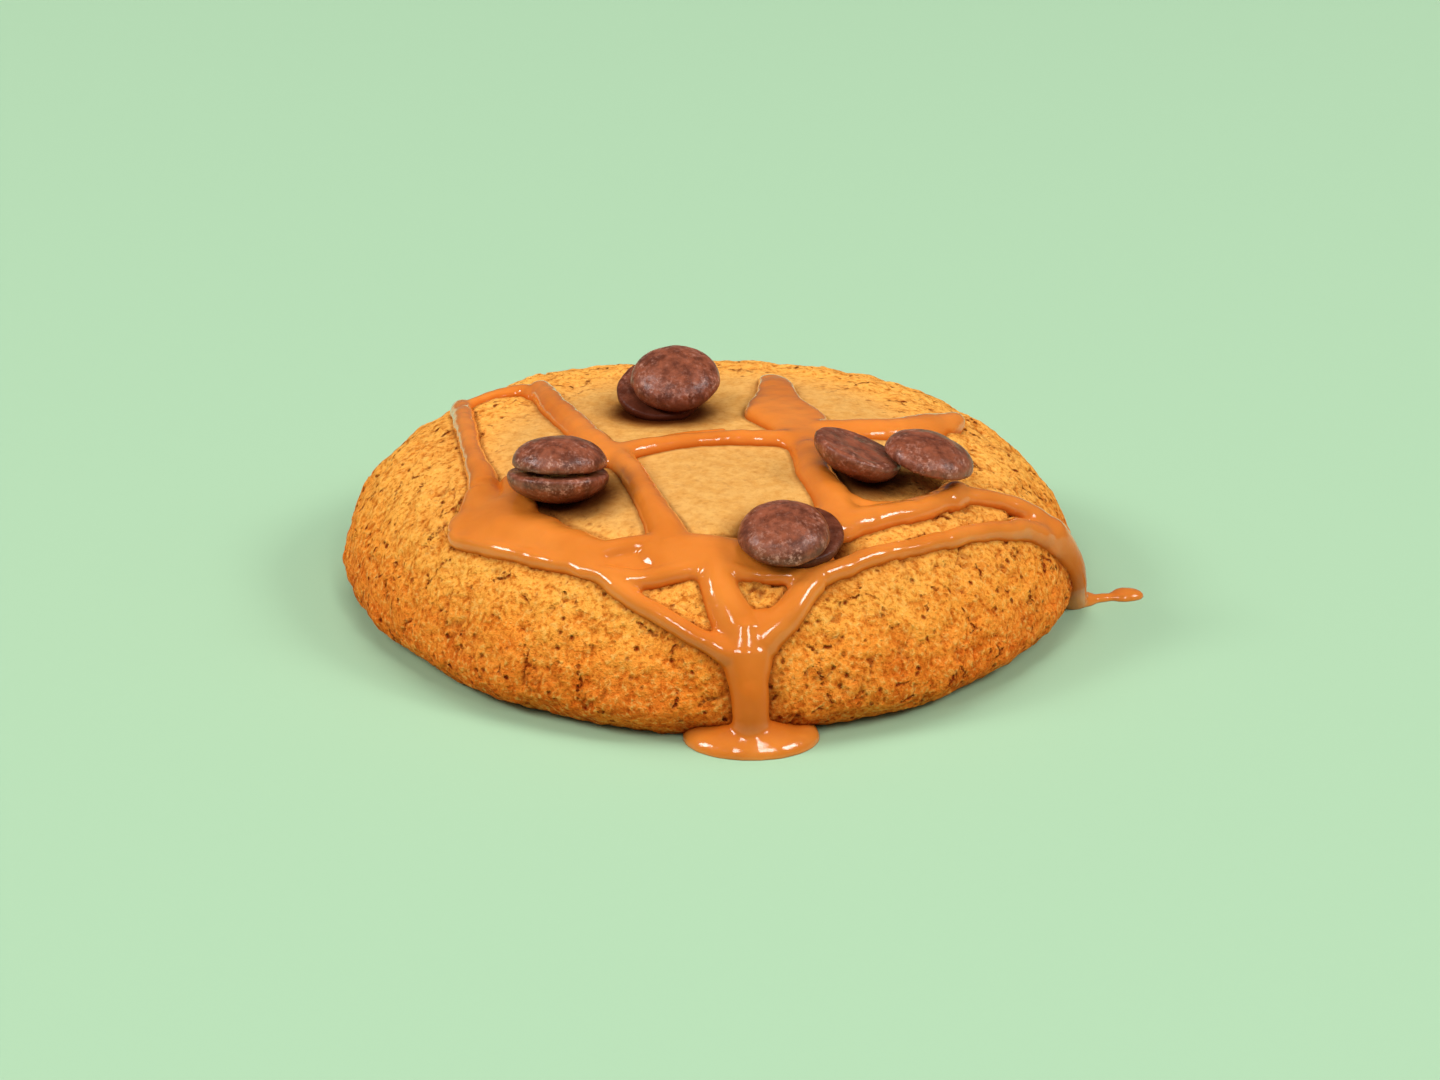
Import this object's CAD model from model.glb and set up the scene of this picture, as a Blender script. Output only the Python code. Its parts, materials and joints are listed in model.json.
# %% [markdown]
# # A caramel drizzled cookie
#
# The real thing is a thick, soft-baked cookie. Caramel was poured over it in a loose lattice, one run
# went down the front and made a small puddle, and pairs of milk chocolate drops were set in it.
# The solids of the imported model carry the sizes. This script makes the surfaces that the eye sees:
# the pitted crumb, the glossy caramel and the scuffed chocolate.

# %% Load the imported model
import json
import math

import bpy
from mathutils import Matrix, Vector, noise
from mathutils.bvhtree import BVHTree

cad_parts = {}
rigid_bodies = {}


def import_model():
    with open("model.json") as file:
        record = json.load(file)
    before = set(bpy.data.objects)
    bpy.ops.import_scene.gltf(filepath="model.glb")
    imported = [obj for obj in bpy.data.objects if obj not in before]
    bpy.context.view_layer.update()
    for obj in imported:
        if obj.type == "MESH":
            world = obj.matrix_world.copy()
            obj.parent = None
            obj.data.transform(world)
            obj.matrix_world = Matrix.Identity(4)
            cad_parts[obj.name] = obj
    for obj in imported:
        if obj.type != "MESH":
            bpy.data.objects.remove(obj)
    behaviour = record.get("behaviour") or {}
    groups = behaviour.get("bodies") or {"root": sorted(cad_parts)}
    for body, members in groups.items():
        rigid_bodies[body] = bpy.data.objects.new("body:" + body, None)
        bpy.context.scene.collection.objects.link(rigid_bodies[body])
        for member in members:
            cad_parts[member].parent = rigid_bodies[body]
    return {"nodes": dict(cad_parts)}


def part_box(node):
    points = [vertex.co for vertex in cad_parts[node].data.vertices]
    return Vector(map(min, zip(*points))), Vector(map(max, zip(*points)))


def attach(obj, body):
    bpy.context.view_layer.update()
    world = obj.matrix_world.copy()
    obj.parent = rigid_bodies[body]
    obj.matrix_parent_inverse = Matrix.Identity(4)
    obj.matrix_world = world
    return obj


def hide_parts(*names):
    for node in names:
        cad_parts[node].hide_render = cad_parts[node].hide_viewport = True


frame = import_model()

MM = 0.001
NOISE_SEED = 7
noise.seed_set(NOISE_SEED)  # unseeded, the noise vectors differ from run to run
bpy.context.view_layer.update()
cookie_low, cookie_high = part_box("cookie")
print("nodes:", ", ".join(sorted(frame["nodes"])))
print("cookie node from", tuple(round(v / MM, 1) for v in cookie_low), "mm")

# %% [markdown]
# ## Small tools
#
# An operator works on everything that is selected, so each step starts with nothing selected and then
# picks its own object. Modifiers are applied as soon as they are set, as by hand.


# %% Selecting, applying, measuring
MERGE_DISTANCE = 0.005 * MM
CUT_THRESHOLD = 0.001 * MM
SMOOTH_FACTOR = 0.5


def select_only(*objects):
    if bpy.context.object and bpy.context.object.mode != "OBJECT":
        bpy.ops.object.mode_set(mode="OBJECT")
    bpy.ops.object.select_all(action="DESELECT")
    for item in objects:
        item.select_set(True)
    bpy.context.view_layer.objects.active = objects[0]
    return objects[0]


def apply_modifiers(piece):
    select_only(piece)
    for modifier in list(piece.modifiers):
        bpy.ops.object.modifier_apply(modifier=modifier.name)


def clean_up(piece):
    """Merges doubles and turns every face outwards."""
    select_only(piece)
    bpy.ops.object.mode_set(mode="EDIT")
    bpy.ops.mesh.select_all(action="SELECT")
    bpy.ops.mesh.remove_doubles(threshold=MERGE_DISTANCE)
    bpy.ops.mesh.normals_make_consistent(inside=False)
    bpy.ops.object.mode_set(mode="OBJECT")


def voxel_remesh(piece, size):
    """Rebuilds the surface as even quads of this size."""
    select_only(piece)
    piece.data.remesh_voxel_size = size
    piece.data.remesh_voxel_adaptivity = 0.0
    bpy.ops.object.voxel_remesh()


def smooth(piece, times):
    modifier = piece.modifiers.new("smooth", "SMOOTH")
    modifier.factor = SMOOTH_FACTOR
    modifier.iterations = times
    apply_modifiers(piece)


def cut_flat_at_table(piece):
    """Cuts away what lies below the table's height and closes the cut."""
    select_only(piece)
    bpy.ops.object.mode_set(mode="EDIT")
    bpy.ops.mesh.select_all(action="SELECT")
    bpy.ops.mesh.bisect(
        plane_co=(0.0, 0.0, 0.0),
        plane_no=(0.0, 0.0, 1.0),
        use_fill=True,
        clear_inner=True,
        threshold=CUT_THRESHOLD,
    )
    bpy.ops.object.mode_set(mode="OBJECT")


def keep_main_part(piece):
    """Deletes the bubbles and specks that a remesh left loose from the skin."""
    select_only(piece)
    bpy.ops.object.mode_set(mode="EDIT")
    bpy.ops.mesh.select_all(action="DESELECT")
    bpy.ops.object.mode_set(mode="OBJECT")
    max(piece.data.vertices, key=lambda vertex: vertex.co.z).select = True
    bpy.ops.object.mode_set(mode="EDIT")
    bpy.ops.mesh.select_linked()
    bpy.ops.mesh.select_all(action="INVERT")
    bpy.ops.mesh.delete(type="VERT")
    bpy.ops.object.mode_set(mode="OBJECT")


def report(piece):
    triangles = sum(len(face.vertices) - 2 for face in piece.data.polygons)
    print(f"{piece.name}: {triangles} triangles, {tuple(round(v / MM, 1) for v in piece.dimensions)} mm")


def smooth_step(low, high, value):
    share = min(1.0, max(0.0, (value - low) / (high - low)))
    return share * share * (3.0 - 2.0 * share)


print("tools ready")

# %% [markdown]
# ## The cookie's form
#
# The crumb is a puck that bulges near the table and closes in a broad crown. It is easiest to draw as
# half an outline and to spin that round the upright axis. The same few numbers then give the height
# of the crown anywhere, which the caramel needs later.

# %% The outline and the crown
COOKIE_RADIUS = 44.0
BULGE_HEIGHT = 4.5
CROWN_RISE = 16.5
CROWN_FULLNESS = 4.46
CROWN_SHOULDER = 1.61
UNDERCUT_REACH = 14.0
UNDERCUT_DEPTH = 6.5
BELOW_TABLE = 1.5
PLAN_OVAL = -0.0155
PLAN_THREE_LOBES = 0.0128
OUTLINE_POINTS = 60
SLOPE_STEP = 0.05


def plan_factor(angle):
    """How far the outline swells or draws in, seen from above."""
    return 1.0 + PLAN_OVAL * math.sin(2 * angle) + PLAN_THREE_LOBES * math.sin(3 * angle)


def crown_height(radius):
    share = min(1.0, radius / COOKIE_RADIUS)
    return BULGE_HEIGHT + CROWN_RISE * (1.0 - share**CROWN_FULLNESS) ** (1.0 / CROWN_SHOULDER)


def crown_point(x, y):
    """The smooth crown over a place in plan, and its outward direction, in millimetres."""

    def height(px, py):
        return crown_height(math.hypot(px, py) / plan_factor(math.atan2(py, px)))

    slope_x = (height(x + SLOPE_STEP, y) - height(x - SLOPE_STEP, y)) / (2 * SLOPE_STEP)
    slope_y = (height(x, y + SLOPE_STEP) - height(x, y - SLOPE_STEP)) / (2 * SLOPE_STEP)
    return Vector((x, y, height(x, y))), Vector((-slope_x, -slope_y, 1.0)).normalized()


def half_outline():
    points = []
    for i in range(OUTLINE_POINTS + 1):
        turn = math.pi / 2 * (1.0 - i / OUTLINE_POINTS)
        radius = COOKIE_RADIUS * math.cos(turn) ** (2.0 / CROWN_FULLNESS)
        points.append((radius, crown_height(radius)))
    for i in range(1, OUTLINE_POINTS // 2 + 1):
        height = BULGE_HEIGHT - (BULGE_HEIGHT + BELOW_TABLE) * 2 * i / OUTLINE_POINTS
        fall = (BULGE_HEIGHT - height) / UNDERCUT_DEPTH
        points.append((COOKIE_RADIUS - UNDERCUT_REACH * (1.0 - math.sqrt(1.0 - fall * fall)), height))
    points.append((0.0, -BELOW_TABLE))
    return points


print("crown at the middle:", round(crown_height(0.0), 2), "mm")

# %% Spin the outline and rebuild it as even quads
SPIN_STEPS = 128
CRUMB_SMOOTHING = 3
CRUMB_VOXEL = 0.388


def spun(name, outline):
    mesh = bpy.data.meshes.new(name)
    mesh.from_pydata(
        [(r * MM, 0.0, z * MM) for r, z in outline], [(i, i + 1) for i in range(len(outline) - 1)], []
    )
    piece = bpy.data.objects.new(name, mesh)
    bpy.context.scene.collection.objects.link(piece)
    select_only(piece)
    bpy.ops.object.mode_set(mode="EDIT")
    bpy.ops.mesh.select_all(action="SELECT")
    bpy.ops.mesh.spin(steps=SPIN_STEPS, angle=2 * math.pi, center=(0, 0, 0), axis=(0, 0, 1))
    bpy.ops.object.mode_set(mode="OBJECT")
    clean_up(piece)
    return piece


crumb = spun("crumb", half_outline())
voxel_remesh(crumb, CRUMB_VOXEL * MM)
for vertex in crumb.data.vertices:
    swell = plan_factor(math.atan2(vertex.co.y, vertex.co.x))
    vertex.co.x *= swell
    vertex.co.y *= swell
smooth(crumb, CRUMB_SMOOTHING)
report(crumb)

# %% [markdown]
# ## The crumb's relief
#
# A baked crumb is uneven at every size: broad swells, crags of a few millimetres, a fine grain, short
# jagged cracks and small burst bubbles. The cracks follow the borders between the cells of a Voronoi
# pattern, bent out of shape by noise and shown only in patches. The middle of the top stayed smooth.
# The depth of each hollow is kept on the mesh as an attribute, so that the material can darken it.

# %% Functions for each kind of relief, in millimetres
SINK = 0.15
SWELL_SIZE, SWELL_HEIGHT = 15.0, 0.45
CRAG_SIZE, CRAG_HEIGHT = 3.8, 0.40
CRAG_SHIFT = Vector((7.0, 3.0, 5.0))
LUMP_SIZE, LUMP_HEIGHT = 1.5, 0.20
GRAIN_CELL, GRAIN_HEIGHT = 1.15, 0.17
CRACK_CELL, CRACK_WIDTH, CRACK_DEPTH = 9.0, 0.60, 0.60
CRACK_WANDER_SIZE, CRACK_WANDER = 4.0, 1.8
CRACK_JAG_SIZE, CRACK_JAG = 1.3, 0.7
CRACK_PATCH_SIZE, CRACK_BREAK_SIZE = 11.0, 2.4
# From which noise value a crack fades in, and from which it is fully open.
CRACK_PATCH, CRACK_BREAK, FINE_PATCH = (-0.05, 0.25), (-0.15, 0.15), (0.05, 0.3)
FINE_CELL, FINE_WIDTH, FINE_DEPTH = 3.4, 0.36, 0.35
PIT_CELL, PIT_RADIUS, PIT_DEPTH, PIT_SHARE = 1.9, 0.45, 0.50, 0.30
PORE_CELL, PORE_RADIUS, PORE_DEPTH, PORE_SHARE = 1.0, 0.34, 0.26, 0.30
# The smallest pit's share of the largest one's radius, and how a cell's middle becomes its luck.
SMALLEST_PIT = 0.55
LUCK_STRETCH, LUCK_SHIFT = 7.3, Vector((3.1, 5.7, 1.9))
SMOOTH_TOP_RADIUS, ROUGH_TOP_RADIUS, SMOOTH_TOP_SHIFT = 20.0, 33.0, 5.0
# Shares of the pores and of the fine relief that are left on the smooth top.
PORES_ON_TOP, FINE_ON_TOP = 0.25, 0.3


def crack_between(point, cell, width):
    """1 in the middle of a border between two Voronoi cells, falling to 0 at half its width."""
    nearest, second = noise.voronoi(point / cell)[0][:2]
    return max(0.0, 1.0 - (second - nearest) * cell / width)


def pit_at(point, cell, radius, share):
    """A round hollow in some of the cells, from 1 in its middle to 0 at its edge."""
    distances, middles = noise.voronoi(point / cell)
    luck = noise.cell(middles[0] * LUCK_STRETCH + LUCK_SHIFT)
    if luck > share:
        return 0.0
    size = radius * (SMALLEST_PIT + (1.0 - SMALLEST_PIT) * luck / share)
    return max(0.0, 1.0 - (distances[0] * cell / size) ** 2)


def hollows(point, rough):
    """How deep the cracks, pits and pores are at a point."""
    wandered = point + CRACK_WANDER * noise.noise_vector(point / CRACK_WANDER_SIZE)
    wandered += CRACK_JAG * noise.noise_vector(point / CRACK_JAG_SIZE)
    patch = smooth_step(*CRACK_PATCH, noise.noise(point / CRACK_PATCH_SIZE))
    patch *= smooth_step(*CRACK_BREAK, noise.noise(point / CRACK_BREAK_SIZE))
    crack = patch * CRACK_DEPTH * crack_between(wandered, CRACK_CELL, CRACK_WIDTH)
    fine_patch = smooth_step(*FINE_PATCH, noise.noise(point / CRACK_WANDER_SIZE + CRAG_SHIFT))
    fine = fine_patch * FINE_DEPTH * crack_between(wandered, FINE_CELL, FINE_WIDTH)
    pit = PIT_DEPTH * pit_at(point, PIT_CELL, PIT_RADIUS, PIT_SHARE)
    pore = PORE_DEPTH * pit_at(point, PORE_CELL, PORE_RADIUS, PORE_SHARE)
    return rough * max(crack, fine, pit) + (PORES_ON_TOP + (1.0 - PORES_ON_TOP) * rough) * pore


def crumb_relief(point):
    """(how far the surface moves out, how deep its hollow is) at a point."""
    from_middle = math.hypot(point.x, point.y + SMOOTH_TOP_SHIFT)
    rough = smooth_step(SMOOTH_TOP_RADIUS, ROUGH_TOP_RADIUS, from_middle)
    swell = SWELL_HEIGHT * noise.noise(point / SWELL_SIZE)
    crag = CRAG_HEIGHT * noise.noise(point / CRAG_SIZE + CRAG_SHIFT)
    lump = LUMP_HEIGHT * noise.noise(point / LUMP_SIZE)
    grain = GRAIN_HEIGHT * (0.5 - noise.voronoi(point / GRAIN_CELL)[0][0])
    hollow = hollows(point, rough)
    fine = (FINE_ON_TOP + (1.0 - FINE_ON_TOP) * rough) * (lump + grain)
    return swell + rough * crag + fine - hollow - SINK, hollow, rough


# %% Move every point of the crumb and keep the depths
def roughen(piece):
    mesh = piece.data
    depth = mesh.attributes.new("hollow", "FLOAT", "POINT")
    crust = mesh.attributes.new("crust", "FLOAT", "POINT")
    places = [vertex.co.copy() for vertex in mesh.vertices]
    outward = [vertex.normal.copy() for vertex in mesh.vertices]
    for i, (place, direction) in enumerate(zip(places, outward)):
        move, hollow, rough = crumb_relief(place / MM)
        mesh.vertices[i].co = place + direction * move * MM
        depth.data[i].value = hollow
        crust.data[i].value = rough


roughen(crumb)
cut_flat_at_table(crumb)
bpy.ops.object.shade_smooth()
report(crumb)

# %% [markdown]
# ## The caramel
#
# Poured caramel lies in rounded ropes that widen into pools and melt together where they meet. Each
# rope is a curve with a round bevel, sunk so that only its top stands out of the crumb. A wide, low
# pool made like that would need a circle as large as the cookie, so the one at the back is filled from
# its outline, in rings. All forms are then joined, rebuilt as one skin by a voxel remesh and smoothed,
# which fills the inner corners the way surface tension does.

# %% Where each rope lies: x, y and half its width, in millimetres
CARAMEL_HEIGHT = 1.35
POURED_LINES = {
    "left_line": [(-30.3, 12.6, 1.3), (-29.2, 4.0, 1.25), (-27.8, -5.0, 1.15), (-26.0, -14.0, 1.8)],
    "rim_line": [(-30.2, 12.2, 1.2), (-27.0, 14.6, 1.1), (-23.0, 15.2, 1.1), (-20.6, 13.0, 1.4)],
    "left_diagonal": [
        (-20.8, 14.5, 1.4), (-17.2, 4.0, 1.75), (-13.2, -5.8, 1.8), (-9.6, -12.4, 1.45),
        (-6.9, -21.4, 1.55), (-5.4, -26.8, 1.9), (-4.0, -31.0, 2.8),
    ],
    "crossing": [(-11.0, -9.5, 1.4), (-5.0, -6.3, 1.15), (2.0, -4.5, 1.1), (9.0, -4.6, 1.3)],
    "back_blob": [(9.8, 4.0, 1.8), (11.0, -1.5, 2.4), (11.6, -8.5, 2.0)],
    "right_diagonal": [(11.5, -7.5, 2.0), (12.4, -14.5, 2.1), (13.9, -20.0, 2.3), (15.0, -25.5, 2.4)],
    "back_right_arm": [(13.0, -1.5, 2.2), (20.5, -0.6, 2.0), (26.3, 3.3, 2.4), (29.7, 6.6, 1.2)],
    "upper_right_arm": [
        (12.5, -28.6, 1.7), (17.0, -25.1, 1.8), (23.5, -21.1, 1.3), (28.6, -15.6, 1.2),
        (34.5, -12.3, 1.05), (39.0, -10.4, 1.8),
    ],
    "lower_right_arm": [
        (11.0, -35.4, 1.2), (17.5, -31.0, 1.05), (24.0, -26.5, 1.0), (31.0, -20.4, 1.05),
        (37.4, -13.9, 1.4), (40.4, -10.8, 2.0),
    ],
    "drop_support": [(27.2, -17.2, 1.5), (28.6, -14.6, 1.7)],
    "left_pool": [
        (-26.4, -14.5, 2.0), (-26.2, -19.0, 3.0), (-22.6, -23.8, 3.4), (-17.0, -28.2, 2.7),
        (-12.0, -31.6, 2.2),
    ],
    "pool_inner_edge": [(-12.0, -30.9, 1.4), (-6.6, -30.8, 1.3), (-1.5, -32.4, 2.4), (3.5, -32.8, 2.6)],
    "pool_outer_edge": [(-11.8, -34.2, 1.2), (-7.4, -35.4, 1.1), (-3.4, -35.0, 1.2), (0.0, -34.2, 1.8)],
    "front_pool": [(2.5, -33.0, 2.3), (8.6, -32.2, 3.2), (12.6, -31.4, 1.6)],
    "front_edge": [(2.0, -35.0, 1.1), (6.4, -35.5, 0.8), (11.4, -35.0, 1.0)],
    "front_left_arm": [(-11.6, -34.4, 1.0), (-7.6, -38.0, 1.0), (-2.4, -40.8, 0.95), (2.4, -42.5, 1.3)],
    "fork_left": [(0.0, -33.0, 1.6), (0.5, -35.0, 1.8), (1.7, -38.2, 2.0), (4.2, -41.8, 2.7)],
    "fork_right": [(11.6, -35.4, 1.4), (9.2, -38.3, 1.6), (5.6, -41.5, 2.3)],
    "crossing_thread": [(-7.8, -6.0, 0.5), (-4.0, -2.9, 0.4), (1.6, -1.2, 0.35)],
    "pool_rim": [
        (-28.9, -21.2, 0.9), (-28.2, -22.6, 1.0), (-26.5, -24.2, 1.0), (-23.2, -26.7, 1.0),
        (-19.8, -29.3, 0.95), (-16.3, -31.5, 0.9), (-13.0, -33.5, 0.9), (-11.0, -34.6, 0.9),
    ],
    "front_climb": [
        (3.2, -31.6, 0.7), (4.1, -33.4, 0.8), (5.6, -34.6, 0.8), (7.9, -34.9, 0.8), (10.2, -34.1, 0.8),
        (12.2, -32.8, 0.7),
    ],
    "left_climb": [(-23.2, -14.2, 0.6), (-22.5, -16.9, 0.7), (-21.2, -19.0, 0.7), (-19.8, -20.6, 0.5)],
    "right_climb": [
        (13.2, -14.2, 0.6), (14.3, -18.0, 0.8), (15.7, -20.6, 0.9), (18.0, -22.0, 0.9), (21.0, -21.3, 0.8),
        (24.2, -19.0, 0.7), (26.4, -15.8, 0.6), (27.6, -13.8, 0.5),
    ],
}
# Thin lines that dried in ripples, and lines that are flatter than the rest.
RIPPLED_LINES = ("crossing", "upper_right_arm", "lower_right_arm", "pool_rim", "front_left_arm")
LOWER_LINES = {
    "rim_line": 0.85, "left_pool": 1.1, "pool_outer_edge": 1.0, "pool_inner_edge": 1.0,
    "crossing_thread": 0.22, "left_climb": 0.7, "right_climb": 0.7, "front_pool": 1.1, "back_blob": 1.05,
}
# Lines that run down the side give their own height: x, y, z and half the width.
RUNS_DOWN_THE_SIDE = {
    "front_run": [
        (4.1, -40.8, 12.8, 2.0), (4.2, -42.8, 9.7, 2.6), (4.5, -44.1, 6.6, 2.0), (4.6, -44.5, 4.0, 1.85),
        (4.6, -44.6, 0.6, 2.2),
    ],
    "right_run": [
        (40.0, -11.0, 12.2, 1.9), (41.3, -10.2, 10.0, 2.1), (42.6, -8.6, 7.0, 1.9), (43.3, -6.6, 4.0, 1.7),
        (43.6, -4.2, 0.4, 1.5),
    ],
}
# Puddles on the table: x, y, then half of the length, width and height, and a turn in degrees.
PUDDLES = {
    "front_puddle": (4.65, -41.4, 7.65, 6.1, 2.9, 0.0),
    "puddle_mound": (4.65, -42.0, 6.0, 5.2, 3.5, 0.0),
    "right_foot": (44.2, -3.6, 2.5, 1.7, 1.3, 20.0),
    "splash_neck": (46.9, -2.9, 2.2, 0.8, 0.8, 18.0),
    "splash_drop": (50.0, -2.0, 2.25, 1.5, 1.1, 12.0),
}
# Webs fill the corners where ropes meet: x, y, half the length and the width, the height, a turn.
WEBS = [
    (-11.6, -9.3, 2.9, 2.9, 1.15, 0), (-1.4, -32.7, 6.4, 3.3, 1.2, 0), (11.4, -4.2, 3.8, 3.8, 1.2, 0),
    (14.4, -26.0, 3.2, 3.2, 1.2, 0), (4.8, -41.2, 2.8, 2.4, 1.0, 0), (6.3, -40.4, 2.7, 2.3, 1.1, 0),
    (39.6, -11.0, 3.0, 3.0, 1.1, 0), (-24.4, -22.0, 4.6, 4.0, 1.1, -40), (-8.4, -33.2, 3.4, 1.8, 0.32, 0),
    (-27.4, -20.4, 2.8, 2.8, 1.0, 0), (-14.4, -30.6, 4.6, 2.6, 1.05, -35), (-21.6, -17.6, 2.6, 2.6, 0.8, 0),
    (15.6, -22.0, 2.3, 2.3, 1.0, 0),
]
# A low pool at the back, too wide for a rope: the x and y of its outline.
BACK_POOL = [
    (5.9, 18.0), (5.6, 12.8), (5.0, 9.6), (4.2, 6.8), (4.2, 3.8), (5.4, 1.6), (7.2, -1.5), (9.2, -6.0),
    (13.2, -6.0), (14.6, -1.0), (14.0, 3.0), (12.0, 7.0), (10.8, 10.8), (10.2, 15.2), (8.2, 18.6),
]
BACK_POOL_MIDDLE, BACK_POOL_HEIGHT, BACK_POOL_DEPTH = Vector((9.0, 5.5, 0.0)), 1.2, 1.0
POOL_RINGS, POOL_STEEPNESS = (1.0, 0.95, 0.87, 0.75, 0.6, 0.4, 0.2), 6
print(len(POURED_LINES) + len(RUNS_DOWN_THE_SIDE), "ropes and", len(PUDDLES), "puddles")

# %% Build the ropes as bevelled curves
ROPE_STEP = 0.6
ROPE_SIDES = 16
ROPE_WAVE, ROPE_RIPPLE, ROPE_WAVE_SIZE = 0.025, 0.11, 1.5
ROPE_STRAY, ROPE_STRAY_SIZE = 0.30, 3.5
TIP_REACH, TIP_TAPER, TIP_SINK = 0.8, 0.35, 0.5
SMOOTHING_ALLOWANCE = 0.17
BALL_SEGMENTS, BALL_RINGS = 40, 20


def spline_between(a, b, c, d, t):
    """A smooth value between b and c, with a and d as the neighbours."""
    return 0.5 * (
        2 * b + (c - a) * t + (2 * a - 5 * b + 4 * c - d) * t * t + (3 * b - a - 3 * c + d) * t * t * t
    )


def finely(points, step):
    """The same route with a point every step millimetres."""
    ends = [points[0]] + points + [points[-1]]
    fine = []
    for i in range(1, len(ends) - 2):
        a, b, c, d = (Vector(p) for p in ends[i - 1 : i + 3])
        count = max(1, round((c.xyz - b.xyz).length / step))
        fine += [spline_between(a, b, c, d, k / count) for k in range(count)]
    return fine + [Vector(points[-1])]


def rope_route(points, on_side, full_height=CARAMEL_HEIGHT, ripple=ROPE_WAVE):
    """Places, outward directions, half widths and heights along a rope."""
    route = []
    for point in finely(points, ROPE_STEP):
        if on_side:
            place, half_width = Vector(point[:3]), point[3]
            outward = Vector((place.x, place.y, 0.0)).normalized()
        else:
            stray = ROPE_STRAY * noise.noise_vector(Vector((point.x, point.y, 0.0)) / ROPE_STRAY_SIZE)
            place, outward = crown_point(point.x + stray.x, point.y + stray.y)
            half_width = point.z
        wave = 1.0 + ripple * noise.noise(place / ROPE_WAVE_SIZE)
        height = min(full_height, half_width) * wave
        route.append((place, outward, half_width * wave, height))
    return route


def with_tips(route, both):
    """The same route with a thin, half sunk point past its ends."""

    def tip(end, inner):
        place, outward, half_width, height = end
        away = (place - inner[0]).normalized()
        place = place + away * half_width * TIP_REACH - outward * height * TIP_SINK
        return place, outward, half_width * TIP_TAPER, height * TIP_TAPER

    last = [tip(route[-1], route[-2])] if both else []
    return [tip(route[0], route[1])] + route + last


def rope(name, route):
    curve = bpy.data.curves.new(name, "CURVE")
    curve.dimensions = "3D"
    curve.bevel_depth = MM
    curve.bevel_resolution = ROPE_SIDES
    curve.use_fill_caps = True
    spline = curve.splines.new("POLY")
    spline.points.add(len(route) - 1)
    for point, (place, outward, half_width, height) in zip(spline.points, route):
        half_width += SMOOTHING_ALLOWANCE
        height += SMOOTHING_ALLOWANCE
        radius = (half_width**2 + height**2) / (2 * height)
        point.co = (*((place - outward * (radius - height)) * MM), 1.0)
        point.radius = radius
    piece = bpy.data.objects.new(name, curve)
    bpy.context.scene.collection.objects.link(piece)
    select_only(piece)
    bpy.ops.object.convert(target="MESH")
    clean_up(piece)
    return piece


def flattened_ball(name, place, sizes, turn, outward=Vector((0, 0, 1))):
    """A primitive sphere pressed flat, for puddles on the table and webs on the crown."""
    bpy.ops.mesh.primitive_uv_sphere_add(segments=BALL_SEGMENTS, ring_count=BALL_RINGS, radius=1.0)
    piece = bpy.context.object
    piece.name = name
    shape = Matrix.Diagonal((*(size * MM for size in sizes), 1.0))
    lean = outward.to_track_quat("Z", "Y").to_matrix().to_4x4()
    piece.data.transform(
        Matrix.Translation(place * MM) @ lean @ Matrix.Rotation(math.radians(turn), 4, "Z") @ shape
    )
    return piece


def low_pool(name, outline):
    """Rings over an outline that rise steeply at the edge and are nearly flat in the middle."""
    sides = finely([Vector((x, y, 0.0)) for x, y in outline + outline[:1]], ROPE_STEP)[:-1]
    count = len(sides)
    points = []
    for share in POOL_RINGS + (0.0,):
        for side in sides if share else sides[:1]:
            spot = BACK_POOL_MIDDLE.lerp(side, share)
            place, outward = crown_point(spot.x, spot.y)
            points.append(place + outward * BACK_POOL_HEIGHT * math.sqrt(1.0 - share**POOL_STEEPNESS))
    top = len(points) - 1
    for spot in sides + [BACK_POOL_MIDDLE]:
        place, outward = crown_point(spot.x, spot.y)
        points.append(place - outward * BACK_POOL_DEPTH)
    faces = []
    for i in range(count):
        j = (i + 1) % count
        for ring in range(len(POOL_RINGS) - 1):
            a, b = ring * count, (ring + 1) * count
            faces.append((a + i, a + j, b + j, b + i))
        last = (len(POOL_RINGS) - 1) * count
        faces.append((last + i, last + j, top))
        faces.append((top + 1 + i, top + 1 + j, j, i))
        faces.append((top + 1 + j, top + 1 + i, top + 1 + count))
    mesh = bpy.data.meshes.new(name)
    mesh.from_pydata([point * MM for point in points], [], faces)
    piece = bpy.data.objects.new(name, mesh)
    bpy.context.scene.collection.objects.link(piece)
    clean_up(piece)
    return piece


def pour():
    made = [low_pool("back_pool", BACK_POOL)]
    for name, points in POURED_LINES.items():
        height = LOWER_LINES.get(name, CARAMEL_HEIGHT)
        ripple = ROPE_RIPPLE if name in RIPPLED_LINES else ROPE_WAVE
        made.append(rope(name, with_tips(rope_route(points, False, height, ripple), True)))
    for name, points in RUNS_DOWN_THE_SIDE.items():
        made.append(rope(name, with_tips(rope_route(points, True), False)))
    for name, (x, y, length, width, height, turn) in PUDDLES.items():
        made.append(flattened_ball(name, Vector((x, y, 0.0)), (length, width, height), turn))
    for x, y, half_length, half_width, height, turn in WEBS:
        place, outward = crown_point(x, y)
        made.append(flattened_ball("web", place, (half_length, half_width, height), turn, outward))
    return made


ropes = pour()
print(len(ropes), "forms poured")

# %% [markdown]
# Where ropes ran into each other the real caramel is level, with no trace of either rope, so the skin is
# smoothed much more there. At last a slight ripple breaks the highlights into dashes.

# %% Join the ropes into one skin
# Where the ropes ran into each other: x, y and reach.
JOINTS = [
    (-0.2, -32.4, 4.6), (10.4, -1.0, 7.5), (-11.6, -9.3, 3.6), (14.4, -26.0, 4.0), (11.8, -7.5, 4.0),
    (8.8, 9.0, 7.5), (7.8, 15.5, 4.5), (39.6, -11.0, 3.5), (-23.5, -21.0, 6.0), (-14.5, -30.5, 4.0),
]
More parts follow.
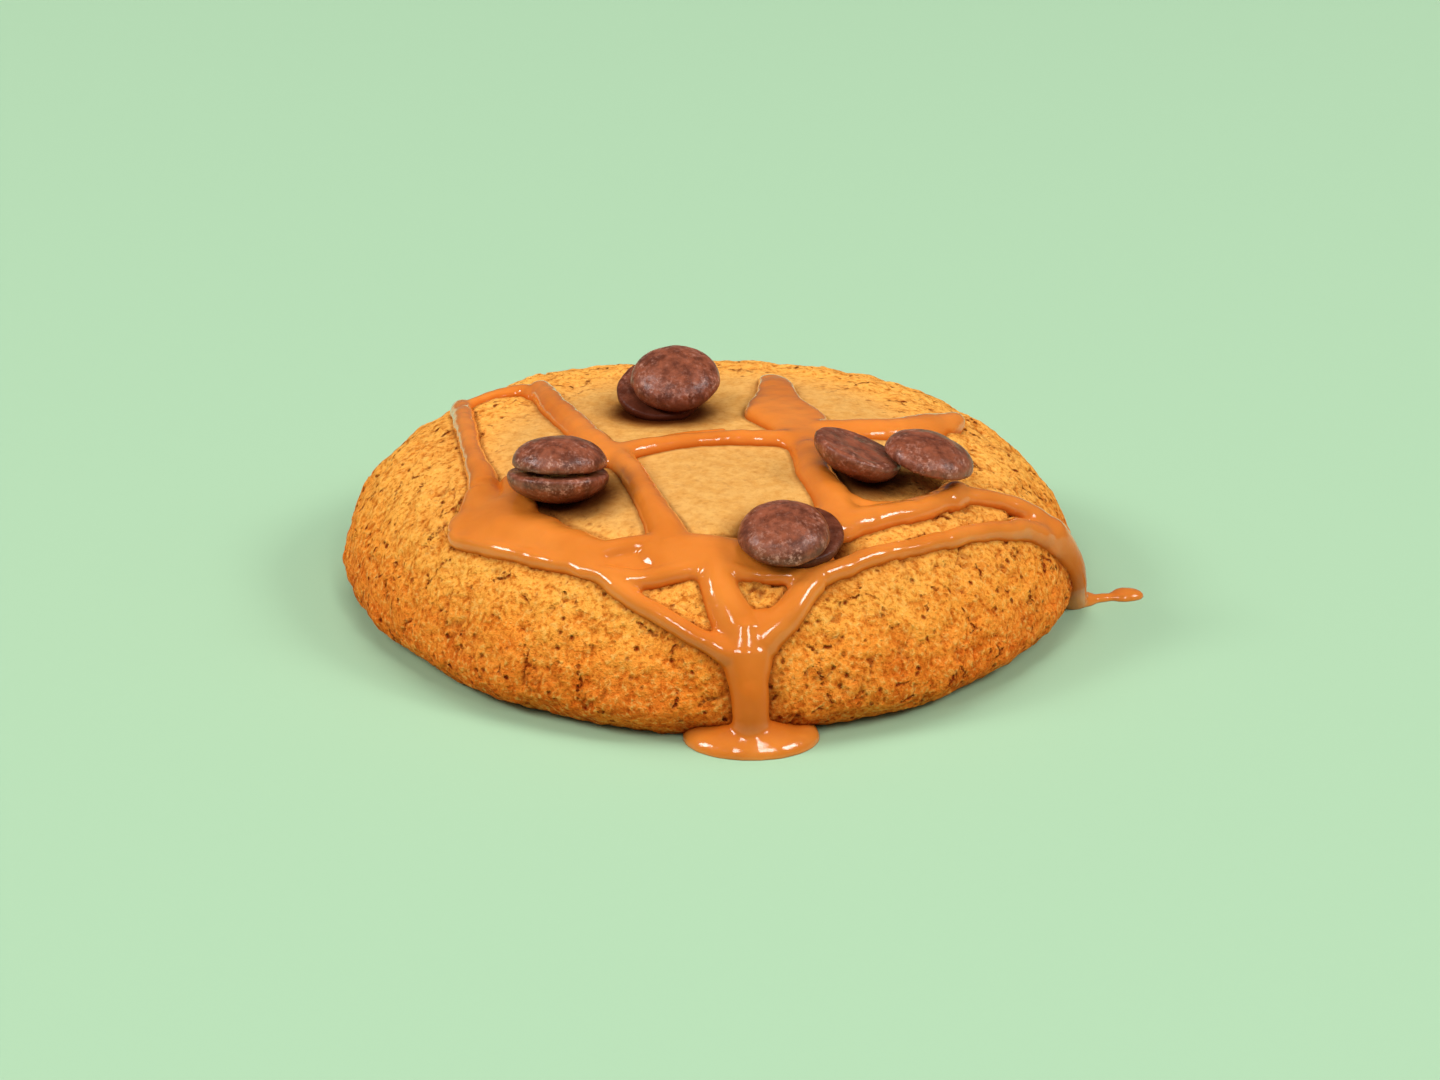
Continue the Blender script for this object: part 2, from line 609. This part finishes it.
# How strongly and how often the joints are smoothed, and the share of the reach that gets it in full.
MELT_FACTOR, MELT_TIMES, MELT_CORE = 0.7, 28, 0.5
CARAMEL_SMOOTHING = 9
RIPPLE_SIZE, RIPPLE_DEPTH = 1.8, 0.065


def melt_joints(piece):
    """Smooths the skin strongly near the joints and not elsewhere."""
    group = piece.vertex_groups.new(name="joints")
    for vertex in piece.data.vertices:
        x, y = vertex.co.x / MM, vertex.co.y / MM
        nearest = min(math.hypot(x - a, y - b) / reach for a, b, reach in JOINTS)
        near = 1.0 - smooth_step(MELT_CORE, 1.0, nearest)
        if near > 0.0:
            group.add([vertex.index], near, "REPLACE")
    modifier = piece.modifiers.new("melt", "SMOOTH")
    modifier.factor, modifier.iterations = MELT_FACTOR, MELT_TIMES
    modifier.vertex_group = group.name
    apply_modifiers(piece)
    piece.vertex_groups.clear()


def ripple(piece):
    """Lifts and sinks the skin a little, so that a highlight breaks into dashes."""
    normals = [vertex.normal.copy() for vertex in piece.data.vertices]
    for vertex, normal in zip(piece.data.vertices, normals):
        vertex.co += normal * RIPPLE_DEPTH * MM * noise.noise(vertex.co / MM / RIPPLE_SIZE)


CARAMEL_VOXEL = 0.295
caramel = select_only(*ropes)
bpy.ops.object.join()
caramel.name = caramel.data.name = "caramel"
voxel_remesh(caramel, CARAMEL_VOXEL * MM)
keep_main_part(caramel)
smooth(caramel, CARAMEL_SMOOTHING)
melt_joints(caramel)
ripple(caramel)
cut_flat_at_table(caramel)
bpy.ops.object.shade_smooth()
report(caramel)

# %% Keep how close each point is to the other surface
EDGE_REACH, WIDE_EDGE_REACH = 0.9, 2.2


def keep_distance(piece, others, name, reach):
    """Writes 1 where another surface touches, falling to 0 at the reach in millimetres."""
    points, faces = [], []
    for other in others:
        first = len(points)
        points += [vertex.co for vertex in other.data.vertices]
        faces += [tuple(first + i for i in face.vertices) for face in other.data.polygons]
    tree = BVHTree.FromPolygons(points, faces)
    near = piece.data.attributes.new(name, "FLOAT", "POINT")
    for i, vertex in enumerate(piece.data.vertices):
        distance = tree.find_nearest(vertex.co, reach * MM)[3]
        near.data[i].value = 0.0 if distance is None else 1.0 - distance / (reach * MM)


keep_distance(caramel, [crumb], "contact", EDGE_REACH)
keep_distance(crumb, [caramel], "contact", WIDE_EDGE_REACH)
print("contact kept on both pieces")

# %% [markdown]
# ## The chocolate drops
#
# A baker's drop is flat where it was poured and domed above, with a rounded rim. Half an outline spun
# round gives that form, and small dents and nicks make it look handled. Two drops lie flat side to
# flat side in a pair, so a pair is placed by the middle and the lean of that joint. The right pair slid
# apart, so its drops are placed one by one.

# %% Sizes and places of the drops
RIM_ROUND = 0.55
PAIR_GAP = 0.45
DROP_TURN = 40.0
DROP_WOBBLE_SIZE, DROP_WOBBLE, DROP_WOBBLE_SHIFT = 5.0, 0.12, 11.0
# Middle of the joint, lean to the front and to the right, then radius, height and shift of each drop.
DROP_PAIRS = {
    "left": ((-17.15, -19.3, 23.2), -11.0, 1.0, (5.85, 3.6, 0.0, 0.0), (5.45, 3.6, 0.1, 0.0)),
    "back": ((-5.8, 6.3, 23.7), 22.0, -2.0, (5.4, 3.4, 0.0, 0.6), (5.35, 3.6, 1.7, 0.4)),
    "front": ((8.3, -32.7, 19.9), 16.0, 0.0, (5.3, 3.3, 1.5, 2.0), (5.2, 3.5, 0.0, 0.0)),
}
# Middle, leans, radius, height, and whether the dome points down.
LEANING_DROPS = {
    "right_lower": ((17.25, -15.2, 24.4), -2.5, 21.0, 5.3, 3.5, True),
    "right_upper": ((25.1, -14.4, 22.2), 1.0, 15.0, 5.35, 3.1, False),
}


def joint_matrix(tilt, roll):
    return Matrix.Rotation(math.radians(roll), 4, "Y") @ Matrix.Rotation(math.radians(tilt), 4, "X")


def drop_list():
    """(name, radius, height, matrix) of every drop, in millimetres."""
    listed = []
    for side, (middle, tilt, roll, lower, upper) in DROP_PAIRS.items():
        joint = joint_matrix(tilt, roll)
        for word, (radius, height, x, y), lift, down in (
            ("lower", lower, -0.5, True),
            ("upper", upper, 0.5, False),
        ):
            place = Vector(middle) + joint.to_3x3() @ Vector((x, y, lift * PAIR_GAP))
            listed.append((f"{side}_{word}", radius, height, place, joint, down))
    for name, (place, tilt, roll, radius, height, down) in LEANING_DROPS.items():
        listed.append((name, radius, height, Vector(place), joint_matrix(tilt, roll), down))
    drops = []
    for number, (name, radius, height, place, joint, down) in enumerate(listed, start=1):
        own = Matrix.Rotation(math.radians(number * DROP_TURN), 4, "Z")
        over = Matrix.Rotation(math.pi if down else 0.0, 4, "X")
        drops.append((name, radius, height, Matrix.Translation(place) @ joint @ own @ over))
    return drops


print(len(drop_list()), "drops")

# %% Spin, rebuild, dent and place each drop
DROP_VOXEL = 0.15
DROP_STEPS, RIM_STEPS = 24, 8
DROP_SMOOTHING = 3
DENT_SIZE, DENT_DEPTH, DENT_BIAS = 2.4, 0.14, 0.3
SCUFF_SIZE, SCUFF_DEPTH = 0.7, 0.03
NICK_CELL, NICK_RADIUS, NICK_DEPTH, NICK_SHARE = 1.7, 0.42, 0.10, 0.2


def drop_outline(radius, height):
    points = []
    for i in range(DROP_STEPS + 1):
        turn = math.pi / 2 * (1.0 - i / DROP_STEPS)
        points.append((radius * math.cos(turn), RIM_ROUND + (height - RIM_ROUND) * math.sin(turn)))
    for i in range(1, RIM_STEPS + 1):
        turn = math.pi / 2 * i / RIM_STEPS
        points.append((radius - RIM_ROUND * (1.0 - math.cos(turn)), RIM_ROUND * (1.0 - math.sin(turn))))
    points.append((0.0, 0.0))
    return points


def finished_drop(name, radius, height, matrix, number):
    drop = spun("drop_" + name, drop_outline(radius, height))
    voxel_remesh(drop, DROP_VOXEL * MM)
    smooth(drop, DROP_SMOOTHING)
    rim = drop.data.attributes.new("rim", "FLOAT", "POINT")
    shift = Vector((number * DROP_WOBBLE_SHIFT, 0.0, 0.0))
    places = [vertex.co.copy() for vertex in drop.data.vertices]
    outward = [vertex.normal.copy() for vertex in drop.data.vertices]
    for i, (place, direction) in enumerate(zip(places, outward)):
        point = place / MM
        away = Vector((point.x, point.y, 0.0 if point.z < RIM_ROUND / 2 else point.z)) / radius
        moved = place + away * DROP_WOBBLE * noise.noise(point / DROP_WOBBLE_SIZE + shift) * MM
        point += shift
        move = DENT_DEPTH * (noise.noise(point / DENT_SIZE) - DENT_BIAS)
        move += SCUFF_DEPTH * noise.noise(point / SCUFF_SIZE)
        move -= NICK_DEPTH * pit_at(point, NICK_CELL, NICK_RADIUS, NICK_SHARE)
        drop.data.vertices[i].co = moved + direction * move * MM
        rim.data[i].value = math.hypot(place.x, place.y) / (radius * MM)
    drop.data.transform(Matrix.Translation(matrix.translation * MM) @ matrix.to_3x3().to_4x4())
    select_only(drop)
    bpy.ops.object.shade_smooth()
    report(drop)
    return drop


drops = {
    "chocolate_" + name: finished_drop(name, radius, height, matrix, number)
    for number, (name, radius, height, matrix) in enumerate(drop_list(), start=1)
}

# %% Keep how close the drops are to what they lie on
DROP_REACH = 4.2
keep_distance(crumb, list(drops.values()), "shaded", DROP_REACH)
for drop in drops.values():
    keep_distance(drop, [crumb], "contact", DROP_REACH)
print("nearness of the drops kept")

# %% [markdown]
# ## Materials
#
# Every colour comes from nodes on Object coordinates or on the attributes kept above, so nothing
# slides when the camera moves. Constants sit on the shader itself.


# %% Node helpers
def new_material(name):
    material = bpy.data.materials.new(name)
    material.use_nodes = True
    tree = material.node_tree
    return material, tree, tree.nodes["Principled BSDF"]


def set_inputs(shader, values):
    for name, value in values.items():
        shader.inputs[name].default_value = value


def add(tree, kind, **settings):
    node = tree.nodes.new(kind)
    for key, value in settings.items():
        setattr(node, key, value)
    return node


def object_coordinates(tree):
    return add(tree, "ShaderNodeTexCoord").outputs["Object"]


def noise_node(tree, coordinates, size_mm, detail, roughness):
    node = add(tree, "ShaderNodeTexNoise")
    node.inputs["Scale"].default_value = 1.0 / (size_mm * MM)
    node.inputs["Detail"].default_value = detail
    node.inputs["Roughness"].default_value = roughness
    tree.links.new(coordinates, node.inputs["Vector"])
    return node.outputs["Fac"]


def spread(tree, value, low, high, to_low=0.0, to_high=1.0):
    node = add(tree, "ShaderNodeMapRange")
    node.inputs["From Min"].default_value = low
    node.inputs["From Max"].default_value = high
    node.inputs["To Min"].default_value = to_low
    node.inputs["To Max"].default_value = to_high
    tree.links.new(value, node.inputs["Value"])
    return node.outputs["Result"]


def mix(tree, share, first, second, blend="MIX"):
    """Blends two colours by a share. Each colour is a socket or a fixed colour."""
    node = add(tree, "ShaderNodeMix", data_type="RGBA", blend_type=blend)
    for socket, value in (("Factor", share), ("A", first), ("B", second)):
        target = next(s for s in node.inputs if s.name == socket and s.enabled)
        if isinstance(value, tuple):
            target.default_value = (*value, 1.0)
        else:
            tree.links.new(value, target)
    return next(s for s in node.outputs if s.enabled)


def attribute(tree, name):
    return add(tree, "ShaderNodeAttribute", attribute_name=name).outputs["Fac"]


def bump(tree, shader, height, strength, distance_mm, before=None):
    node = add(tree, "ShaderNodeBump")
    node.inputs["Strength"].default_value = strength
    node.inputs["Distance"].default_value = distance_mm * MM
    tree.links.new(height, node.inputs["Height"])
    if before:
        tree.links.new(before, node.inputs["Normal"])
    tree.links.new(node.outputs["Normal"], shader.inputs["Normal"])
    return node.outputs["Normal"]


def multiply(tree, first, second):
    node = add(tree, "ShaderNodeMath", operation="MULTIPLY")
    tree.links.new(first, node.inputs[0])
    tree.links.new(second, node.inputs[1])
    return node.outputs[0]


def cell_distance(tree, coordinates, size_mm):
    """0 in the middle of each cell, growing to about 0.7 in the creases between cells."""
    node = add(tree, "ShaderNodeTexVoronoi")
    node.inputs["Scale"].default_value = 1.0 / (size_mm * MM)
    tree.links.new(coordinates, node.inputs["Vector"])
    return node.outputs["Distance"]


def bend_coordinates(tree, coordinates, size_mm, amount_mm):
    """The same coordinates pushed about by noise, so that cells on them come out uneven."""
    node = add(tree, "ShaderNodeTexNoise")
    node.inputs["Scale"].default_value = 1.0 / (size_mm * MM)
    tree.links.new(coordinates, node.inputs["Vector"])
    push = add(tree, "ShaderNodeVectorMath", operation="MULTIPLY_ADD")
    tree.links.new(node.outputs["Color"], push.inputs[0])
    push.inputs[1].default_value = (amount_mm * MM,) * 3
    tree.links.new(coordinates, push.inputs[2])
    return push.outputs["Vector"]


def height_above_table(tree, coordinates):
    split = add(tree, "ShaderNodeSeparateXYZ")
    tree.links.new(coordinates, split.inputs[0])
    return split.outputs["Z"]


# %% [markdown]
# ### Crumb
#
# The crumb is golden on the shoulder, redder towards the baking sheet, and pale tan in the smooth
# middle. Every darker mark is the same gold seen in less light, so grains, pits, splits and the crumb
# beside caramel and drops multiply the colour by a warm tint instead of painting brown over it.

# %% The crumb's material
GOLD = (0.98, 0.408, 0.057)
DEEP_GOLD = (0.94, 0.322, 0.035)
BAKED = (0.86, 0.158, 0.012)
PALE_GOLD = (0.98, 0.455, 0.088)
TAN = (0.73, 0.388, 0.108)
DEEP_TAN = (0.66, 0.310, 0.070)
PALE_GRAIN = (0.99, 0.56, 0.14)
# Shares of red, green and blue that stay in the darker grains, in the pits, and near the drops.
GRAIN_TINT = (0.66, 0.44, 0.24)
PIT_TINT = (0.30, 0.10, 0.05)
SHADE_TINT = (0.46, 0.34, 0.26)
GAP_TINT = (0.22, 0.12, 0.08)
CLUMP, SAND, PIT_SPACING, SPLIT_CELL = 2.0, 0.62, 1.5, 5.0
# Heights in metres between which the crumb turns redder, paler, and dark beside the caramel.
BAKED_BELOW, PALE_ABOVE, DARK_BESIDE = (0.0140, 0.0025), (0.0105, 0.019), (0.013, 0.008)
CRUMB_SKIN = {"Roughness": 0.8, "Specular IOR Level": 0.04}


def crumb_material():
    material, tree, shader = new_material("crumb")
    place = object_coordinates(tree)
    crust = attribute(tree, "crust")
    height = height_above_table(tree, place)
    colour = mix(tree, spread(tree, noise_node(tree, place, 8.0, 4.0, 0.6), 0.36, 0.64), DEEP_GOLD, GOLD)
    low = spread(tree, height, *BAKED_BELOW)
    low = multiply(tree, low, spread(tree, noise_node(tree, place, 5.0, 4.0, 0.65), 0.3, 0.62, 0.6, 1.0))
    colour = mix(tree, low, colour, BAKED)
    colour = mix(tree, spread(tree, height, *PALE_ABOVE, 0.0, 0.8), colour, PALE_GOLD)
    tan = mix(tree, spread(tree, noise_node(tree, place, 1.4, 4.0, 0.65), 0.36, 0.60), DEEP_TAN, TAN)
    colour = mix(tree, spread(tree, crust, 0.75, 0.1, 0.0, 0.95), colour, tan)

    # Clumps and grains of sand, stronger on the rough crust than on the smooth top.
    strength = spread(tree, crust, 0.0, 1.0, 0.25, 1.0)
    clump = noise_node(tree, place, CLUMP, 4.0, 0.7)
    dark = multiply(tree, spread(tree, clump, 0.52, 0.36, 0.0, 0.75), strength)
    colour = mix(tree, dark, colour, GRAIN_TINT, "MULTIPLY")
    sand = noise_node(tree, place, SAND, 2.0, 0.6)
    pale = multiply(tree, spread(tree, sand, 0.54, 0.70, 0.0, 0.5), strength)
    colour = mix(tree, pale, colour, PALE_GRAIN)
    dark = multiply(tree, spread(tree, sand, 0.48, 0.32, 0.0, 0.9), strength)
    colour = mix(tree, dark, colour, GRAIN_TINT, "MULTIPLY")

    # Pits lie alone or in rows along short splits.
    frayed = bend_coordinates(tree, place, 0.7, 0.5)
    pit = spread(tree, cell_distance(tree, frayed, PIT_SPACING), 0.26, 0.08)
    pit = multiply(tree, pit, spread(tree, noise_node(tree, place, 2.3, 2.0, 0.6), 0.46, 0.54))
    split = add(tree, "ShaderNodeTexVoronoi", feature="DISTANCE_TO_EDGE")
    split.inputs["Scale"].default_value = 1.0 / (SPLIT_CELL * MM)
    tree.links.new(bend_coordinates(tree, frayed, 2.4, 1.6), split.inputs["Vector"])
    split = spread(tree, split.outputs["Distance"], 0.055, 0.008)
    split = multiply(tree, split, spread(tree, noise_node(tree, place, 3.6, 2.0, 0.6), 0.56, 0.61))
    broken = spread(tree, noise_node(tree, place, 0.7, 2.0, 0.6), 0.42, 0.54, 0.15, 1.0)
    split = multiply(tree, split, broken)
    holes = add(tree, "ShaderNodeMath", operation="MAXIMUM")
    tree.links.new(pit, holes.inputs[0])
    tree.links.new(split, holes.inputs[1])
    holes = multiply(tree, holes.outputs[0], spread(tree, crust, 0.05, 0.7, 0.15, 1.0))
    colour = mix(tree, holes, colour, PIT_TINT, "MULTIPLY")

    # The modelled hollows, then less light beside the caramel and below the drops.
    hollow = spread(tree, attribute(tree, "hollow"), 0.14, 0.45, 0.0, 0.75)
    colour = mix(tree, hollow, colour, PIT_TINT, "MULTIPLY")
    contact = attribute(tree, "contact")
    near = spread(tree, contact, 0.77, 0.98, 0.0, 0.8)
    colour = mix(tree, near, colour, SHADE_TINT, "MULTIPLY")
    beside = multiply(tree, spread(tree, contact, 0.05, 0.9, 0.0, 0.8), spread(tree, height, *DARK_BESIDE))
    colour = mix(tree, beside, colour, SHADE_TINT, "MULTIPLY")
    shaded = attribute(tree, "shaded")
    colour = mix(tree, spread(tree, shaded, 0.0, 0.85), colour, SHADE_TINT, "MULTIPLY")
    colour = mix(tree, spread(tree, shaded, 0.40, 0.85), colour, GAP_TINT, "MULTIPLY")

    tree.links.new(colour, shader.inputs["Base Color"])
    set_inputs(shader, CRUMB_SKIN)
    first = bump(tree, shader, multiply(tree, clump, strength), 1.0, 0.7)
    second = bump(tree, shader, multiply(tree, sand, strength), 1.0, 0.35, first)
    bump(tree, shader, spread(tree, holes, 1.0, 0.0), 1.0, 0.25, second)
    return material


# %% [markdown]
# ### Caramel
#
# Caramel lets light in a little way and sends it back amber, so it has subsurface scattering, and its
# skin is smooth and wet. It is darker along its thin edges and in the thick runs down the side, which
# also shine less.

# %% The caramel's material
AMBER = (0.68, 0.184, 0.019)
LIGHT_AMBER = (0.79, 0.236, 0.031)
DARK_AMBER = (0.52, 0.088, 0.004)
# Heights in metres between which the caramel counts as thick, and as a run down the side.
THICK_BELOW, THICK_ABOVE = (0.015, 0.006), (0.0015, 0.003)
RUN_BELOW, RUN_ABOVE = (0.0115, 0.0085), (0.0031, 0.0038)
CARAMEL_SKIN = {
    "Roughness": 0.14,
    "IOR": 1.38,
    "Subsurface Weight": 0.15,
    "Subsurface Radius": (1.0, 0.35, 0.08),
    "Subsurface Scale": 0.7 * MM,
    "Coat IOR": 1.42,
    "Coat Roughness": 0.05,
}


def caramel_material():
    material, tree, shader = new_material("caramel")
    place = object_coordinates(tree)
    contact = attribute(tree, "contact")
    height = height_above_table(tree, place)
    flow = spread(tree, noise_node(tree, place, 8.0, 2.0, 0.5), 0.35, 0.65)
    colour = mix(tree, flow, AMBER, LIGHT_AMBER)
    colour = mix(tree, spread(tree, contact, 0.35, 1.0, 0.0, 0.8), colour, DARK_AMBER)
    thick = multiply(tree, spread(tree, height, *THICK_BELOW, 0.0, 0.6), spread(tree, height, *THICK_ABOVE))
    colour = mix(tree, thick, colour, DARK_AMBER)
    tree.links.new(colour, shader.inputs["Base Color"])

    # The thin edges and the runs shine less.
    runs = multiply(tree, spread(tree, height, *RUN_BELOW), spread(tree, height, *RUN_ABOVE))
    edge = spread(tree, contact, 0.25, 0.75, 1.0, 0.2)
    coat = multiply(tree, spread(tree, runs, 0.0, 1.0, 0.65, 0.10), edge)
    tree.links.new(coat, shader.inputs["Coat Weight"])
    level = multiply(tree, spread(tree, runs, 0.0, 1.0, 0.5, 0.15), edge)
    tree.links.new(level, shader.inputs["Specular IOR Level"])
    set_inputs(shader, CARAMEL_SKIN)
    bump(tree, shader, noise_node(tree, place, 1.1, 1.0, 0.5), 0.45, 0.15)
    return material


# %% [markdown]
# ### Chocolate
#
# Milk chocolate has a satin skin, mottled in two browns, with pale specks of bloom where the drops
# rubbed, most of them near the rim. The undersides, close to the crumb, are darker and duller.

# %% The chocolate's material
COCOA = (0.118, 0.027, 0.011)
RED_COCOA = (0.300, 0.080, 0.036)
BLOOM = (0.62, 0.30, 0.215)
UNDERSIDE = (0.060, 0.012, 0.005)


def chocolate_material():
    material, tree, shader = new_material("chocolate")
    place = object_coordinates(tree)
    contact = attribute(tree, "contact")
    colour = mix(tree, spread(tree, noise_node(tree, place, 1.9, 4.0, 0.7), 0.38, 0.62), COCOA, RED_COCOA)
    speck = spread(tree, noise_node(tree, place, 0.55, 4.0, 0.75), 0.50, 0.66, 0.0, 0.85)
    near_rim = spread(tree, attribute(tree, "rim"), 0.30, 0.95, 0.2, 1.0)
    patch = spread(tree, noise_node(tree, place, 1.7, 3.0, 0.6), 0.42, 0.58, 0.1, 1.0)
    speck = multiply(tree, multiply(tree, speck, near_rim), patch)
    speck = multiply(tree, speck, spread(tree, contact, 0.15, 0.55, 1.0, 0.15))
    colour = mix(tree, speck, colour, BLOOM)
    colour = mix(tree, spread(tree, contact, 0.08, 0.68, 0.0, 0.88), colour, UNDERSIDE)
    tree.links.new(colour, shader.inputs["Base Color"])
    roughness = spread(tree, noise_node(tree, place, 1.2, 3.0, 0.6), 0.3, 0.7, 0.24, 0.46)
    tree.links.new(roughness, shader.inputs["Roughness"])
    shine = spread(tree, contact, 0.0, 0.55, 0.42, 0.12)
    tree.links.new(shine, shader.inputs["Specular IOR Level"])
    first = bump(tree, shader, noise_node(tree, place, 0.9, 3.0, 0.6), 0.45, 0.14)
    bump(tree, shader, noise_node(tree, place, 0.28, 2.0, 0.7), 0.5, 0.07, first)
    return material


crumb.data.materials.append(crumb_material())
caramel.data.materials.append(caramel_material())
chocolate = chocolate_material()
for drop in drops.values():
    drop.data.materials.append(chocolate)
print("materials set")

# %% [markdown]
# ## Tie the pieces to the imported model
#
# The crumb and the caramel together stand for the cookie's solid, and each finished drop for its own.

# %% Ride, replace and name the slots
for piece, slot_name in ((crumb, "crumb"), (caramel, "caramel")):
    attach(piece, "root")
    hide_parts("cookie")
for node_name, drop in drops.items():
    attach(drop, "root")
    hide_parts(node_name)

# %% [markdown]
# ## Floor, light and camera
#
# A plain pale floor. Two soft boxes at the sides and two small ones in front draw the crisp lines along
# the caramel, and broad fills that the caramel doesn't mirror keep the shadows soft. The camera looks
# down at the cookie through a long lens.


# %% Floor and light
FLOOR_COLOUR = (0.395, 0.595, 0.385)
FLOOR_SKIN = {"Base Color": (*FLOOR_COLOUR, 1.0), "Roughness": 0.9, "Specular IOR Level": 0.0}
FLOOR_SIZE, FLOOR_DROP = 4.0, 0.02
WORLD_STRENGTH = 0.10
# Width and height in metres, watts, direction and rise in degrees (0 is the front, positive turns to
# the right), distance in metres, and whether surfaces mirror the light.
LIGHTS = {
    "left_softbox": (0.65, 0.60, 21.0, -80.0, 38.0, 2.5, True),
    "right_softbox": (0.65, 0.60, 20.0, 72.0, 40.0, 2.5, True),
    "front_left_softbox": (0.36, 0.60, 9.8, -27.0, 45.0, 2.5, True),
    "front_right_softbox": (0.36, 0.60, 9.8, 24.0, 44.0, 2.5, True),
    "left_fill": (1.6, 1.6, 9.0, -75.0, 40.0, 2.5, False),
    "right_fill": (1.6, 1.6, 11.0, 72.0, 40.0, 2.5, False),
    "front_fill": (1.8, 1.2, 3.5, -4.0, 34.0, 2.5, False),
    "top_fill": (1.8, 1.8, 27.0, 180.0, 80.0, 2.6, False),
}


def floor_material():
    material, _, shader = new_material("floor")
    set_inputs(shader, FLOOR_SKIN)
    return material


def make_floor():
    bpy.ops.mesh.primitive_plane_add(size=FLOOR_SIZE, location=(0.0, 0.0, -FLOOR_DROP * MM))
    floor = bpy.context.object
    floor.name = "floor"
    floor.data.materials.append(floor_material())


def area_light(name, width, height, power, azimuth, elevation, distance, mirrored):
    """A soft light that faces the cookie from a direction and a rise in degrees."""
    data = bpy.data.lights.new(name, "AREA")
    data.shape = "RECTANGLE"
    data.size = width
    data.size_y = height
    data.energy = power
    light = bpy.data.objects.new(name, data)
    light.visible_glossy = mirrored
    bpy.context.scene.collection.objects.link(light)
    turn, rise = math.radians(azimuth), math.radians(elevation)
    away = Vector((math.sin(turn) * math.cos(rise), -math.cos(turn) * math.cos(rise), math.sin(rise)))
    light.location = away * distance
    light.rotation_euler = away.to_track_quat("Z", "Y").to_euler()


make_floor()
for light_name, settings in LIGHTS.items():
    area_light(light_name, *settings)
world = bpy.data.worlds.new("studio")
world.use_nodes = True
world.node_tree.nodes["Background"].inputs["Color"].default_value = (1.0, 1.0, 1.0, 1.0)
world.node_tree.nodes["Background"].inputs["Strength"].default_value = WORLD_STRENGTH
bpy.context.scene.world = world
bpy.context.scene.view_settings.view_transform = "Standard"

# %% Camera
CAMERA_RISE = math.radians(22.3)
CAMERA_DISTANCE = 0.450
CAMERA_LENS, SENSOR_WIDTH = 93.8, 36.0
NEAREST_SEEN = 0.01
AIM = Vector((1.223, -0.505, 6.77)) * MM


def make_camera():
    data = bpy.data.cameras.new("camera")
    data.lens = CAMERA_LENS
    data.sensor_width = SENSOR_WIDTH
    data.clip_start = NEAREST_SEEN
    camera = bpy.data.objects.new("camera", data)
    bpy.context.scene.collection.objects.link(camera)
    back = Vector((0.0, -math.cos(CAMERA_RISE), math.sin(CAMERA_RISE)))
    camera.location = AIM + back * CAMERA_DISTANCE
    camera.rotation_euler = back.to_track_quat("Z", "Y").to_euler()
    bpy.context.scene.camera = camera


make_camera()
